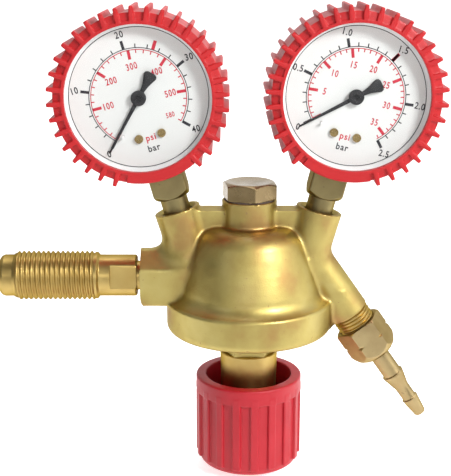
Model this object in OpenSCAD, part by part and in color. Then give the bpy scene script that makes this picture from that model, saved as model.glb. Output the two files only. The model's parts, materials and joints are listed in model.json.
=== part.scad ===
// Single-stage acetylene cylinder regulator with two gauges, a screwed inlet
// nipple, a hose tail under a left-hand union nut and a spring-loading knob.
// Millimetres. +Z is up, +X runs from the inlet into the body, and -Y is the
// side that the dials face. The origin is on the inlet axis, at the outer end
// of the full inlet thread. Threads are plain cylinders at their outer size.

/* [Inlet] */
// Outer end of the full inlet thread to the vertical axis of the body
inlet_reach = 95; // [93:0.5:100]
// Outer diameter of the inlet thread
inlet_thread_d = 20; // [18:0.5:22]
// Length of the full inlet thread
inlet_thread_len = 32; // [28:0.5:33]
// Diameter of the plain shank behind the thread
inlet_shank_d = 17; // [15.5:0.1:17.8]

/* [Body] */
// Radius of the machined skirt around the diaphragm
skirt_r = 34; // [33:0.1:36]
// Level of the skirt's upper edge
skirt_top = -9.5; // [-10.5:0.1:-9]
// Level of the skirt's lower edge
skirt_bottom = -22.4; // [-23:0.1:-21.5]
// Level of the flat top of the dome
dome_top = 21.5; // [20.5:0.1:23]
// Radius of the boss under the valve cap
cap_boss_r = 11.1; // [10.8:0.1:12]
// Level of the top of that boss
cap_boss_top = 32; // [31:0.1:33]
// Width of the inlet block
block_w = 20; // [18:0.5:22]

/* [Gauges] */
// Lean of the left gauge away from upright
left_tilt = 16; // [14:0.5:18]
// Lean of the right gauge away from upright
right_tilt = 14; // [13:0.5:17]
// Body axis to the top centre of the left gauge boss
left_boss_x = 29.4; // [28.5:0.1:31]
// Body axis to the top centre of the right gauge boss
right_boss_x = 28.3; // [28:0.1:31]
// Level of the top centres of the gauge bosses
gauge_boss_top = 28; // [27:0.1:29]
// Radius of a gauge boss
gauge_boss_r = 9.3; // [9:0.1:9.5]
// Boss top to the centre of the dial
stem_len = 48.8; // [48.5:0.1:53]
// Width across the square of the gauge stem
stem_square = 14; // [12:0.5:14]
// Radius of the gauge cover between its ribs
cover_r = 32.5; // [32.2:0.1:33.5]
// Height of the cover's ribs
cover_rib_h = 2.3; // [1:0.1:2.6]
// Number of ribs around the cover
cover_ribs = 31; // [20:1:32]
// Turn of the left cover on its gauge
left_cover_turn = -2.6; // [-5:0.1:5]
// Turn of the right cover on its gauge
right_cover_turn = -0.4; // [-5:0.1:5]
// Radius of the cover's window opening
window_r = 28.1; // [27.5:0.1:28.8]

/* [Outlet] */
// Angle of the outlet below the horizontal
outlet_drop = 54.9; // [52:0.1:58]
// Outer diameter of the outlet thread
outlet_thread_d = 15.9; // [15.5:0.1:16.2]
// Width across the flats of the union nut
nut_flats = 18; // [17.5:0.1:21]
// Radius of the hose tail's neck
tail_r = 4; // [3.5:0.1:4.5]
// Boss face to the tip of the hose tail
tail_len = 55.2; // [52:0.1:60]

/* [Adjusting knob] */
// Outer radius of the knob
knob_r = 22; // [21:0.05:23]
// Inner radius of the knob's cup
knob_inner_r = 17.8; // [16.5:0.1:18.2]
// Level of the knob's rim when it is backed out
knob_top = -42.6; // [-45:0.1:-42.5]
// Level of the knob's lower end when it is backed out
knob_bottom = -80.8; // [-82:0.1:-80]
// Number of ribs around the knob
knob_ribs = 18; // [12:1:24]
// Depth of the knob's grooves
knob_groove = 1; // [0.5:0.1:1.5]
// Diameter of the adjusting screw
screw_d = 10; // [8:0.5:10]

/* [Hidden] */
$fn = 96;
SIDES = ["left", "right"];

// Colours
forged_brass = "#c2a64a";
turned_brass = "#a8823c";
dull_brass = "#8c7440";
cap_bronze = "#8a6a45";
signal_red = "#dd3c3e";
knob_red = "#d13c48";
dial_white = "#e9ebe8";
steel = "#b9bcc0";
black_paint = "#202022";
rubber_black = "#2b2b2d";
clear = "#dfe8ee";

// Fits: a screwed or pressed pair, a turning pair, and an overrun for clean cuts
fit = 0.05;
turning = 0.05;
eps = 0.01;
cut = 1;

// Body levels, downwards from the valve cap
cap_bore_r = 8;
cap_bore_floor = 20;
high_chamber_r = 6.5;
high_chamber_floor = -4;
nozzle_bore_r = 4;
low_chamber_r = 25;
low_chamber_top = -8;
diaphragm_top = -14.5;
diaphragm_t = 1;
slip_ring_t = 0.5;
bonnet_bore_r = 29.5;
seat_level = -1.4;
seat_pad_r = 3;
seat_pad_t = 1.6;
valve_spring_low = 10;
valve_spring_len = 16;
stud_r = 3;
stud_head_r = 6;
stud_head_t = 1.9;
washer_t = 0.6;
edge = 0.8;

// Inlet block and nipple, as distances from the body axis
block_face = 44.3;
block_low = -10.4;
block_shoulder = 4.7;
block_ridge = 11.3;
block_ridge_w = 4;
inlet_bore_r = 6;
inlet_bore_depth = 12;
inlet_spigot_len = 7;
inlet_plug_r = 3.5;
passage_r = 2;

// Outlet boss: the centre of its end face, in the body's own frame
outlet_x = 41.5;
outlet_z = -15.8;
outlet_boss_r = 8.3;
outlet_spigot_len = 12;
outlet_bore_r = 2.5;
tail_flange_t = 3;
union_bore_r = outlet_thread_d / 2 + turning;

// Spring chamber, under the bonnet
spring_bore_r = 8.5;
spring_r = 7;
spring_wire_r = 1;
collar_r = 12;
collar_bottom = -32.2;
housing_r = 11.9;
housing_tip_r = 11.3;
housing_bottom = -54;
housing_floor = -47;
housing_joint_r = 10.2;
housing_joint_bottom = -39;
plate_bottom = -17.3;
button_top = -41;
button_bottom = -44.6;
ball_r = 2.4;
ball_z = -46.2;

// Adjusting screw's head and the screw and cap that hold the knob on it
head_low = -74;
head_t = 6;
head_corner_r = 7.5;
knob_screw_r = 2.45;
cap_recess = -76.2;
cap_recess_r = 7.1;

// Gauge, seen from the front: z runs towards the reader from the stem's plane
case_r = 31;
case_wall = 0.8;
case_back = -8.2;
case_front = 17.2;
window_t = 1.7;
cover_back = -9.6;
cover_front = 20;
dial_z = 14;
dial_t = 0.5;
plate_t = 1;
back_plate_z = 1.5;
front_plate_z = 9;
gear_z = 4.2;
gear_t = 1.4;
arbor_r = 0.9;
gear_module = 0.3;
pinion_teeth = 10;
sector_teeth = 50;
pinion_r = gear_module * pinion_teeth / 2;
sector_r = gear_module * sector_teeth / 2;
sector_y = -(pinion_r + sector_r);
sector_swing = 54;
tail_arm = 4;
tail_angle = 200;
left_dial_turn = -0.5;
right_dial_turn = 3.5;
zero_angle = 45;
stop_angle = -90 - zero_angle + 6.5;
dial_screw_r = 15.9;
dial_screw_angle = 16.6;
dial_screw_shank_r = 0.8;
dial_screw_depth = 3.3;
staff_clearance_r = 2;
stop_r = 16.2;
stop_pin_r = 0.55;

// ---------------------------------------------------------------- geometry

// Points on an arc about c, from angle a to angle b in n steps
function arc(c, r, a, b, n) =
    [for (i = [0:n]) c + r * [cos(a + (b - a) * i / n), sin(a + (b - a) * i / n)]];

// A point at radius r and angle a
function polar(r, a) = [r * cos(a), r * sin(a)];

// Half outline of the dome and skirt: radius and level
function bell_outline() = let (
        crown = 7.5,
        crown_x = 14.9,
        side = 120,
        side_c = [-87.8, -31.9],
        flare = 6.3,
        flare_c = [skirt_r + 1.1, -3],
        lip = 3)
    concat(
        [[0, dome_top]],
        arc([crown_x, dome_top - crown], crown, 90, 24, 5),
        arc(side_c, side, 23.5, 14, 5),
        arc(flare_c, flare, 194, 255, 5),
        [[skirt_r, skirt_top]],
        arc([skirt_r - lip, skirt_bottom + lip], lip, 0, -90, 6),
        [[0, skirt_bottom]]
    );

// Ribbed outline of a gauge cover, with a smooth stretch around the stem
function cover_outline() = let (
        pitch = 360 / (cover_ribs + 4.9),
        root = cover_r - 0.2,
        flank = cover_r + 0.6,
        tip = cover_r + cover_rib_h)
    concat(
        [for (i = [0:cover_ribs - 1]) let (a = 90 + (i - (cover_ribs - 1) / 2) * pitch)
            each [polar(root, a - 2.3), polar(flank, a - 1.7), polar(tip - 0.5, a - 1.4),
                  polar(tip, a - 0.7), polar(tip, a + 0.7), polar(tip - 0.5, a + 1.4),
                  polar(flank, a + 1.7), polar(root, a + 2.3)]],
        [for (a = [242:4:298]) polar(root, a)]
    );

// Grooved outline of the knob
function knob_outline() = let (
        pitch = 360 / knob_ribs,
        crest = knob_r - 2 * fit,
        groove = knob_r - knob_groove,
        crest_half = 4.4,
        root_half = 5.2)
    [for (i = [0:knob_ribs - 1]) let (a = -84.4 + i * pitch)
        each [polar(groove, a - root_half), polar(crest, a - crest_half), polar(crest, a),
              polar(crest, a + crest_half), polar(groove, a + root_half)]];

// Outline of a gear with slim straight teeth, from tooth first to tooth last
function gear_outline(teeth, first, last) = let (
        pitch = 360 / teeth,
        root = gear_module * (teeth / 2 - 1.25),
        tip = gear_module * (teeth / 2 + 0.7))
    [for (i = [first:last])
        each [polar(root, (i - 0.22) * pitch), polar(tip, (i - 0.06) * pitch),
              polar(tip, (i + 0.06) * pitch), polar(root, (i + 0.22) * pitch)]];

// Points of a flat spiral ribbon
function spiral(r_in, r_out, turns, w) = let (n = 20 * turns) concat(
    [for (i = [0:n]) polar(r_in + (r_out - r_in) * i / n - w / 2, i * 18)],
    [for (i = [n:-1:0]) polar(r_in + (r_out - r_in) * i / n + w / 2, i * 18)]
);

// Level along a spring whose end coils are closed and flat
function coil_z(t, turns, h, wire) = let (
        u = t * turns,
        active = turns - 2,
        rise = (h - 4 * wire) / active)
    u < 1 ? wire * (1 + u) : u > turns - 1 ? h - wire * (1 + turns - u)
    : wire * 2 + rise * (u - 1);

// One ring of a coil's wire
function coil_ring(t, turns, r, h, wire, sides) = let (a = 360 * turns * t)
    [for (k = [0:sides - 1]) let (rr = r + wire * cos(360 * k / sides))
        [rr * cos(a), rr * sin(a), coil_z(t, turns, h, wire) + wire * sin(360 * k / sides)]];

// ---------------------------------------------------------------- helpers

// A solid of revolution about Z
module turned(points) { rotate_extrude() polygon(points); }

// A tube about Z
module tube(r_out, r_in, low, high) {
    translate([0, 0, low]) difference() {
        cylinder(r = r_out, h = high - low);
        translate([0, 0, -cut]) cylinder(r = r_in, h = high - low + 2 * cut);
    }
}

// A hole about Z
module hole(r, low, high) { translate([0, 0, low]) cylinder(r = r, h = high - low); }

// A coil spring standing on z = 0
module coil(turns, r, h, wire, sides, steps) {
    n = turns * steps;
    rings = [for (i = [0:n]) each coil_ring(i / n, turns, r, h, wire, sides)];
    walls = [for (i = [0:n - 1]) for (k = [0:sides - 1]) let (
            a = i * sides + k,
            b = i * sides + (k + 1) % sides)
        [a, a + sides, b + sides, b]];
    ends = [[for (k = [0:sides - 1]) k], [for (k = [sides - 1:-1:0]) n * sides + k]];
    polyhedron(rings, concat(walls, ends));
}

// Frames: the body's axis, the inlet axis looking outwards, the outlet axis,
// a gauge boss, and a gauge seen from the front
module at_body() { translate([inlet_reach, 0, 0]) children(); }
module along_inlet() { rotate([0, -90, 0]) children(); }
module along_outlet() {
    translate([outlet_x, 0, outlet_z]) rotate([0, 90 + outlet_drop, 0]) children();
}
module on_boss(side) {
    translate([side == "left" ? -left_boss_x : right_boss_x, 0, gauge_boss_top])
        rotate([0, side == "left" ? -left_tilt : right_tilt, 0]) children();
}
module in_gauge(side) {
    at_body() on_boss(side) translate([0, 0, stem_len]) rotate([90, 0, 0]) children();
}
module at_dial_screws() {
    for (s = [-1, 1])
        rotate([0, 0, -90 + s * dial_screw_angle]) translate([dial_screw_r, 0, 0]) children();
}
module at_stop_pin() { rotate([0, 0, stop_angle]) translate([stop_r, 0, 0]) children(); }

// ---------------------------------------------------------------- body

module inlet_block() {
    half = block_w / 2;
    ridge = block_ridge_w / 2;
    root = 15;
    face_r = 11.8;
    corner_r = 16;
    corner_cut = 2.2;
    intersection() {
        translate([-block_face, 0, 0]) rotate([90, 0, 90]) linear_extrude(block_face - root)
            polygon([[-half, block_low], [half, block_low], [half, block_shoulder],
                     [ridge, block_ridge], [-ridge, block_ridge], [-half, block_shoulder]]);
        along_inlet() turned([[0, root - cut], [corner_r, root - cut], [corner_r, block_face - corner_cut],
                              [face_r, block_face], [0, block_face]]);
    }
}

// Gusset with a hollow back, from the block's ridge up to the left gauge boss
module block_gusset() {
    w = 8;
    root = -30;
    low = 5;
    high = 20;
    hollow = 6;
    translate([0, w / 2, 0]) rotate([90, 0, 0]) linear_extrude(w)
        polygon(concat([[root, low], [-41.8, low]], arc([-42.6, 17.2], hollow, -84, -12, 6),
                       [[-34.5, high], [root, high]]));
}

// Web between the outlet boss and the skirt
module outlet_web() {
    w = 10;
    root = 26;
    high = -8;
    low = skirt_bottom + 1;
    translate([0, w / 2, 0]) rotate([90, 0, 0]) linear_extrude(w)
        polygon([[root, high], [36, high], [34.5, -19.8], [32.2, low], [root, low]]);
}

module body() {
    boss_depth = 32;
    boss_draft = 0.9;
    cap_boss_root = 15;
    web_w = 10;
    web_low = 18;
    web_top = 28.3;
    web_reach = 22;
    gauge_bore_r = 6.6;
    gauge_bore_depth = 12;
    gauge_port_r = 1.5;
    left_port_depth = 29;
    right_port_depth = 38;
    seat_depth = 3;
    outlet_bore_depth = 22;
    // Distance from the axis, lean and length of the drilling to the outlet
    drilling = [20, 38, 17];
    color(forged_brass) at_body() difference() {
        union() {
            turned(bell_outline());
            turned([[0, cap_boss_root], [cap_boss_r, cap_boss_root], [cap_boss_r, cap_boss_top - edge],
                    [cap_boss_r - edge, cap_boss_top], [0, cap_boss_top]]);
            translate([-web_reach, -web_w / 2, web_low]) cube([2 * web_reach, web_w, web_top - web_low]);
            for (side = SIDES) on_boss(side)
                turned([[0, -boss_depth], [gauge_boss_r - boss_draft, -boss_depth],
                        [gauge_boss_r, -edge], [gauge_boss_r - edge, 0], [0, 0]]);
            inlet_block();
            block_gusset();
            outlet_web();
            along_outlet() turned([
                [0, -boss_depth], [outlet_boss_r, -boss_depth], [outlet_boss_r, -edge],
                [outlet_boss_r - 0.2, 0], [outlet_thread_d / 2, 0],
                [outlet_thread_d / 2, outlet_spigot_len - edge],
                [outlet_thread_d / 2 - edge, outlet_spigot_len], [0, outlet_spigot_len]]);
        }
        // Valve chamber, from the cap down to the nozzle
        hole(cap_bore_r, cap_bore_floor, cap_boss_top + cut);
        hole(high_chamber_r, high_chamber_floor, cap_bore_floor + cut);
        hole(nozzle_bore_r, low_chamber_top - cut, high_chamber_floor + cut);
        // Low-pressure chamber, diaphragm ledge and bonnet bore
        hole(low_chamber_r, diaphragm_top - cut, low_chamber_top);
        hole(bonnet_bore_r, skirt_bottom - cut, diaphragm_top);
        // Inlet bore and the passage to the valve chamber
        along_inlet() hole(inlet_bore_r, block_face - inlet_bore_depth, block_face + cut);
        along_inlet() hole(passage_r, high_chamber_r - 1, block_face);
        // Gauge bores: the left one meets the inlet passage, the right one the low-pressure chamber
        for (side = SIDES) on_boss(side) {
            hole(gauge_bore_r, -gauge_bore_depth, cut);
            hole(gauge_port_r, side == "left" ? -left_port_depth : -right_port_depth, 0);
            turned([[0, -1.2], [gauge_bore_r, -1.2], [gauge_bore_r + 1.3, 0.1], [0, 0.1]]);
        }
        // Outlet bore with its coned seat, and the drilling up from the low-pressure chamber
        along_outlet() {
            hole(outlet_bore_r, -outlet_bore_depth, outlet_spigot_len);
            turned([[0, outlet_spigot_len - seat_depth], [outlet_bore_r, outlet_spigot_len - seat_depth],
                    [outlet_bore_r + seat_depth, outlet_spigot_len],
                    [outlet_bore_r + seat_depth, outlet_spigot_len + cut], [0, outlet_spigot_len + cut]]);
        }
        translate([drilling[0], 0, low_chamber_top - 2]) rotate([0, drilling[1], 0])
            cylinder(r = passage_r, h = drilling[2]);
    }
}

module bonnet() {
    rim_r = bonnet_bore_r - fit;
    rim_top = diaphragm_top - diaphragm_t - slip_ring_t;
    face = skirt_bottom + 0.4;
    web = face + 2.2;
    bowl_r = 24;
    pin_hole_r = 2;
    pin_hole_depth = 1.6;
    pin_circle_r = 21;
    color(forged_brass) at_body() difference() {
        union() {
            turned([[0, face], [rim_r - edge, face], [rim_r, face + edge], [rim_r, rim_top],
                    [0, rim_top]]);
            translate([0, 0, collar_bottom])
                cylinder(r = collar_r, h = face - collar_bottom + cut, $fn = 6);
            hole(housing_joint_r, housing_joint_bottom, collar_bottom + cut);
        }
        hole(spring_bore_r, housing_joint_bottom - cut, rim_top + cut);
        turned([[0, web], [bowl_r - 1.5, web], [bowl_r, rim_top + eps], [bowl_r, rim_top + cut],
                [0, rim_top + cut]]);
        for (a = [45:90:315]) rotate([0, 0, a]) translate([pin_circle_r, 0, 0])
            hole(pin_hole_r, face - cut, face + pin_hole_depth);
    }
}

module spring_housing() {
    joint_r = housing_joint_r + fit;
    joint_z = housing_joint_bottom - fit;
    bore_r = screw_d / 2 + turning;
    color(turned_brass) at_body() turned([
        [joint_r, collar_bottom], [housing_r - 0.3, collar_bottom], [housing_r, collar_bottom - 0.4],
        [housing_tip_r, housing_bottom + edge], [housing_tip_r - edge, housing_bottom],
        [bore_r, housing_bottom], [bore_r, housing_floor], [spring_bore_r, housing_floor],
        [spring_bore_r, joint_z], [joint_r, joint_z]]);
}

// ---------------------------------------------------------------- valve

module valve_cap() {
    flats = 20;
    seat = cap_boss_top + washer_t;
    top = cap_boss_top + 7.4;
    corner_r = flats / 2 / cos(30);
    face_r = 9.6;
    dish_r = 8.8;
    shank_r = cap_bore_r - fit;
    spring_pocket_r = 4.5;
    spring_pocket_top = 26;
    color(cap_bronze) at_body() difference() {
        union() {
            intersection() {
                rotate([0, 0, -20]) translate([0, 0, seat])
                    cylinder(r = corner_r, h = top - seat, $fn = 6);
                turned([[0, seat], [corner_r - 0.5, seat], [corner_r + 0.1, seat + 0.5],
                        [corner_r + 0.1, top - 0.9], [face_r, top], [0, top]]);
            }
            hole(shank_r, cap_bore_floor + 0.5, seat + cut);
        }
        hole(spring_pocket_r, cap_bore_floor - cut, spring_pocket_top);
        turned([[0, top - 0.5], [dish_r, top], [dish_r, top + cut], [0, top + cut]]);
    }
}

module cap_washer() {
    color(rubber_black) at_body() tube(10.3, cap_bore_r + fit, cap_boss_top, cap_boss_top + washer_t);
}

module nozzle() {
    lip_r = 2.2;
    jet_r = 1.4;
    flange_r = 5.6;
    flange_top = high_chamber_floor + 1.6;
    shank_r = nozzle_bore_r - fit;
    color(steel) at_body() turned([
        [jet_r, low_chamber_top], [shank_r, low_chamber_top], [shank_r, high_chamber_floor],
        [flange_r, high_chamber_floor], [flange_r, flange_top], [lip_r + 0.6, flange_top],
        [lip_r, seat_level], [jet_r, seat_level]]);
}

module poppet() {
    corner_r = 5.4;
    skirt = seat_level + 0.8;
    guide_r = 2;
    guide_top = 14;
    color(turned_brass) at_body() difference() {
        union() {
            translate([0, 0, skirt]) cylinder(r = corner_r, h = valve_spring_low - 0.1 - skirt, $fn = 6);
            hole(guide_r, valve_spring_low - cut, guide_top);
        }
        hole(seat_pad_r + fit, seat_level, seat_level + seat_pad_t);
    }
}

module seat_pad() {
    color(rubber_black) at_body() hole(seat_pad_r, seat_level, seat_level + seat_pad_t);
}

module valve_spring() {
    turns = 7;
    r = 3.3;
    wire_r = 0.4;
    color(steel) at_body() translate([0, 0, valve_spring_low])
        coil(turns, r, valve_spring_len, wire_r, 6, 16);
}

module push_pin() { color(steel) at_body() hole(0.9, diaphragm_top + stud_head_t, seat_level); }

// ---------------------------------------------------------------- diaphragm and spring

module diaphragm() {
    color(rubber_black) at_body()
        tube(bonnet_bore_r - 0.3, stud_r + fit, diaphragm_top - diaphragm_t, diaphragm_top);
}

module diaphragm_plate() {
    plate_r = 14;
    color(steel) at_body() tube(plate_r, stud_r + fit, plate_bottom, diaphragm_top - diaphragm_t);
}

module lift_stud() {
    color(turned_brass) at_body() union() {
        hole(stud_head_r, diaphragm_top, diaphragm_top + stud_head_t);
        hole(stud_r, plate_bottom - 3, diaphragm_top + cut);
    }
}

module diaphragm_nut() {
    corner_r = 4.9;
    t = 2.4;
    color(steel) at_body() difference() {
        translate([0, 0, plate_bottom - t]) cylinder(r = corner_r, h = t, $fn = 6);
        hole(stud_r + fit, plate_bottom - t - cut, plate_bottom + cut);
    }
}

module slip_ring() {
    inner_r = 24;
    low = diaphragm_top - diaphragm_t - slip_ring_t;
    color(turned_brass) at_body() tube(bonnet_bore_r - 0.3, inner_r, low, low + slip_ring_t);
}

module main_spring() {
    color(steel) at_body() translate([0, 0, button_top])
        coil(6, spring_r, plate_bottom - button_top, spring_wire_r, 8, 20);
}

module spring_button() {
    socket_top = ball_z + ball_r;
    rim_r = 7.9;
    pilot_r = spring_r - spring_wire_r - 0.8;
    pilot_top = button_top + 2.5;
    color(steel) at_body() difference() {
        turned([[0, button_bottom], [rim_r - 0.7, button_bottom], [rim_r, button_bottom + 0.7],
                [rim_r, button_top], [pilot_r, button_top], [pilot_r - 0.6, pilot_top], [0, pilot_top]]);
        hole(ball_r + 0.1, button_bottom - cut, socket_top);
    }
}

module thrust_ball() {
    color(steel) at_body() translate([0, 0, ball_z]) sphere(r = ball_r, $fn = 48);
}

module adjusting_screw() {
    tip = ball_z - ball_r + 0.8;
    tapped_depth = 12;
    color(steel) at_body() difference() {
        union() {
            turned([[0, head_low], [screw_d / 2, head_low], [screw_d / 2, tip - edge],
                    [screw_d / 2 - edge, tip], [0, tip]]);
            translate([0, 0, head_low]) cylinder(r = head_corner_r, h = head_t, $fn = 6);
        }
        hole(ball_r + 0.3, ball_z - ball_r, tip + cut);
        hole(knob_screw_r + fit, head_low - cut, head_low + tapped_depth);
    }
}

// ---------------------------------------------------------------- knob

module knob() {
    cup_floor = -70.5;
    hub_r = 9.5;
    hub_top = -64;
    band_bottom = -49.3;
    band_edge = 0.8;
    rib_low = knob_bottom + 3;
    foot_r = knob_r - 3.4;
    foot_edge = 2.4;
    color(knob_red) at_body() difference() {
        union() {
            turned([[0, band_bottom], [knob_r, band_bottom], [knob_r, knob_top - band_edge],
                    [knob_r - band_edge, knob_top], [0, knob_top]]);
            translate([0, 0, rib_low]) linear_extrude(band_bottom - rib_low + eps)
                polygon(knob_outline());
            turned(concat([[0, knob_bottom], [foot_r, knob_bottom]],
                          arc([foot_r - 0.3, knob_bottom + foot_edge], foot_edge, -75, 0, 4),
                          [[knob_r - knob_groove - 0.4, rib_low + 1], [0, rib_low + 1]]));
        }
        difference() {
            hole(knob_inner_r, cup_floor, knob_top + cut);
            hole(hub_r, cup_floor - cut, hub_top);
        }
        hole(screw_d / 2 + fit, head_low + 1, hub_top + cut);
        translate([0, 0, head_low]) cylinder(r = head_corner_r + fit, h = head_t, $fn = 6);
        hole(knob_screw_r + 0.15, cap_recess - cut, head_low + cut);
        hole(cap_recess_r, knob_bottom - cut, cap_recess);
    }
}

module knob_screw() {
    r = 4.4;
    low = cap_recess - 2;
    tip = -63;
    slot_w = 1;
    slot_depth = 1;
    color(steel) at_body() difference() {
        union() {
            hole(r, low, cap_recess);
            hole(knob_screw_r, cap_recess - cut, tip);
        }
        translate([-r - fit, -slot_w / 2, low - cut]) cube([2 * (r + fit), slot_w, slot_depth + cut]);
    }
}

module knob_cap() {
    rim_r = cap_recess_r - fit;
    rim_wall = 1.15;
    rim_top = cap_recess - 0.2;
    floor_z = cap_recess - 2.4;
    color(knob_red) at_body() turned([
        [rim_r - rim_wall, floor_z], [rim_r - rim_wall, rim_top], [rim_r, rim_top],
        [rim_r, knob_bottom + 0.2], [6.2, knob_bottom], [4.6, knob_bottom - 0.7],
        [2.4, knob_bottom - 1.1], [0, knob_bottom - 1.2], [0, floor_z]]);
}

// ---------------------------------------------------------------- inlet

module inlet_nipple() {
    thread_r = inlet_thread_d / 2;
    thread_low = inlet_reach - inlet_thread_len;
    shank_r = inlet_shank_d / 2;
    spigot_r = 8.55;
    end = inlet_reach + inlet_spigot_len;
    root = block_face - inlet_bore_depth + 0.5;
    root_r = inlet_bore_r - fit;
    run_out = 1.2;
    lead_in = 1.2;
    flat_low = 46;
    flat_high = 56.6;
    flats = 14;
    flats_turn = 9;
    flat_cut = 5;
    bore_r = 2.5;
    seal_bore_r = inlet_plug_r + fit;
    seal_bore_depth = 18;
    color(turned_brass) at_body() along_inlet() difference() {
        turned([[bore_r, root], [root_r, root], [root_r, flat_low], [shank_r - 0.5, flat_low],
                [shank_r, flat_low + 0.5], [shank_r, thread_low - run_out],
                [thread_r - 1, thread_low - run_out], [thread_r, thread_low], [thread_r, inlet_reach],
                [thread_r - 1.2, inlet_reach + lead_in], [spigot_r, inlet_reach + lead_in],
                [spigot_r, end - 1.8], [spigot_r - 0.5, end - 0.7], [spigot_r - 1.4, end],
                [seal_bore_r, end],
                [seal_bore_r, end - seal_bore_depth], [bore_r, end - seal_bore_depth]]);
        for (y = [flats / 2, -flats / 2 - flat_cut])
            rotate([0, 0, flats_turn]) translate([-inlet_thread_d, y, flat_low - cut])
                cube([2 * inlet_thread_d, flat_cut, flat_high - flat_low + cut]);
    }
}

module inlet_filter() {
    len = 12;
    top = inlet_reach + inlet_spigot_len - 5;
    color(dull_brass) at_body() along_inlet() tube(inlet_plug_r, 1.8, top - len, top);
}

module inlet_seal() {
    len = 5.3;
    low = inlet_reach + inlet_spigot_len - 4.5;
    color(rubber_black) at_body() along_inlet() tube(inlet_plug_r, 1.5, low, low + len);
}

// ---------------------------------------------------------------- outlet

module union_nut() {
    low = 6;
    hex_high = 18;
    high = 22.4;
    corner_r = nut_flats / 2 / cos(30);
    outer_r = corner_r + 0.1;
    shoulder = outlet_spigot_len + tail_flange_t + 0.1;
    notch = 13.4;
    notch_depth = 1.2;
    color(dull_brass) at_body() along_outlet() difference() {
        intersection() {
            rotate([0, 0, -6]) translate([0, 0, low]) cylinder(r = corner_r, h = high - low, $fn = 6);
            turned([[0, low], [9.6, low], [outer_r, low + 0.8], [outer_r, notch - notch_depth],
                    [corner_r - notch_depth, notch], [outer_r, notch + notch_depth],
                    [outer_r, hex_high - 0.6], [9.8, hex_high + 1], [8.8, hex_high + 2.6],
                    [7.2, hex_high + 3.8], [5.4, high], [0, high]]);
        }
        hole(union_bore_r, low - cut, shoulder);
        hole(tail_r + turning, shoulder - cut, high + cut);
    }
}

module hose_tail() {
    seat = outlet_spigot_len;
    nose = seat - 2.3;
    flange_r = 6.4;
    flange_high = seat + tail_flange_t;
    bore_r = 1.4;
    color(dull_brass) at_body() along_outlet() turned([
        [bore_r, nose], [3, nose], [5.3, seat], [6.2, seat + 0.1], [flange_r, seat + 0.4],
        [flange_r, flange_high], [tail_r, flange_high], [tail_r, 33], [tail_r + 0.6, 33.3],
        [tail_r + 0.6, 33.8], [3.1, 39.6], [2.9, 41], [2.9, 46.4], [3.5, 46.7], [3.4, 47.4],
        [2.4, tail_len - 0.5], [2.1, tail_len], [bore_r, tail_len]]);
}

// ---------------------------------------------------------------- gauges

module cover(side) {
    turn = side == "left" ? left_cover_turn : right_cover_turn;
    front_edge = 0.6;
    back_edge = 1;
    rib_low = -4;
    rib_high = cover_front - 0.8;
    back_opening_r = 22;
    slot = stem_square + 0.8;
    color(signal_red) in_gauge(side) difference() {
        union() {
            turned([[0, cover_back], [cover_r - back_edge, cover_back], [cover_r, cover_back + back_edge],
                    [cover_r, cover_front - front_edge], [cover_r - front_edge, cover_front],
                    [0, cover_front]]);
            rotate([0, 0, turn]) translate([0, 0, rib_low]) linear_extrude(rib_high - rib_low)
                polygon(cover_outline());
        }
        hole(case_r + fit, case_back, case_front + window_t + fit);
        hole(window_r, case_front, cover_front + cut);
        hole(back_opening_r, cover_back - cut, case_back + cut);
        translate([-slot / 2, -cover_r - 4, -slot / 2]) cube([slot, 12, slot]);
    }
}

module case_shell(side) {
    slot = stem_square + 2 * fit;
    color(steel) in_gauge(side) difference() {
        hole(case_r, case_back, case_front);
        hole(case_r - case_wall, case_back + case_wall, case_front + cut);
        translate([-slot / 2, -case_r - cut, -slot / 2]) cube([slot, 6, slot]);
    }
}

module socket(side) {
    thread_r = 6.55;
    thread_low = -11;
    thread_high = -1.6;
    neck_r = 5.5;
    block_low_z = 5.4;
    block_high_z = stem_len - 24;
    inner_high_z = stem_len - 18;
    inner_w = 12;
    inner_t = 7.5;
    corner_r = 10.5;
    half = stem_square / 2;
    bore_r = 1.2;
    bore_high = stem_len - 23;
    color(dull_brass) at_body() on_boss(side) difference() {
        union() {
            turned([[0, thread_low], [thread_r - 0.55, thread_low], [thread_r, thread_low + 0.6],
                    [thread_r, thread_high], [neck_r, thread_high + 0.2], [neck_r, block_low_z + 1],
                    [0, block_low_z + 1]]);
            intersection() {
                translate([-half, -half, block_low_z])
                    cube([stem_square, stem_square, block_high_z - block_low_z]);
                turned([[0, block_low_z], [6.6, block_low_z], [corner_r, block_low_z + 2.6],
                        [corner_r, stem_len], [0, stem_len]]);
            }
            translate([-inner_w / 2, -back_plate_z, block_high_z - cut])
                cube([inner_w, inner_t, inner_high_z - block_high_z + cut]);
        }
        hole(bore_r, thread_low - cut, bore_high);
        translate([0, 2, bore_high]) rotate([0, 90, 0]) cylinder(r = bore_r, h = inner_w / 2 + cut);
    }
}

module stadium(w, h) {
    middle = (h - w) / 2;
    polygon(concat(arc([0, middle], w / 2, 0, 180, 6), arc([0, -middle], w / 2, 180, 360, 6)));
}

module bourdon_tube(side) {
    r = 22;
    start = -73;
    sweep = 273;
    w = 2.6;
    h = 8;
    wall = 0.4;
    middle_z = -3;
    end_block = [4.4, 2.4, 8];
    color(turned_brass) in_gauge(side) union() {
        translate([0, 0, middle_z]) rotate([0, 0, start]) rotate_extrude(angle = sweep)
            translate([r, 0]) difference() {
                stadium(w, h);
                stadium(w - 2 * wall, h - 2 * wall);
            }
        rotate([0, 0, start + sweep]) translate([r - end_block[0] / 2, -eps, middle_z - 3])
            cube(end_block);
    }
}

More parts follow.
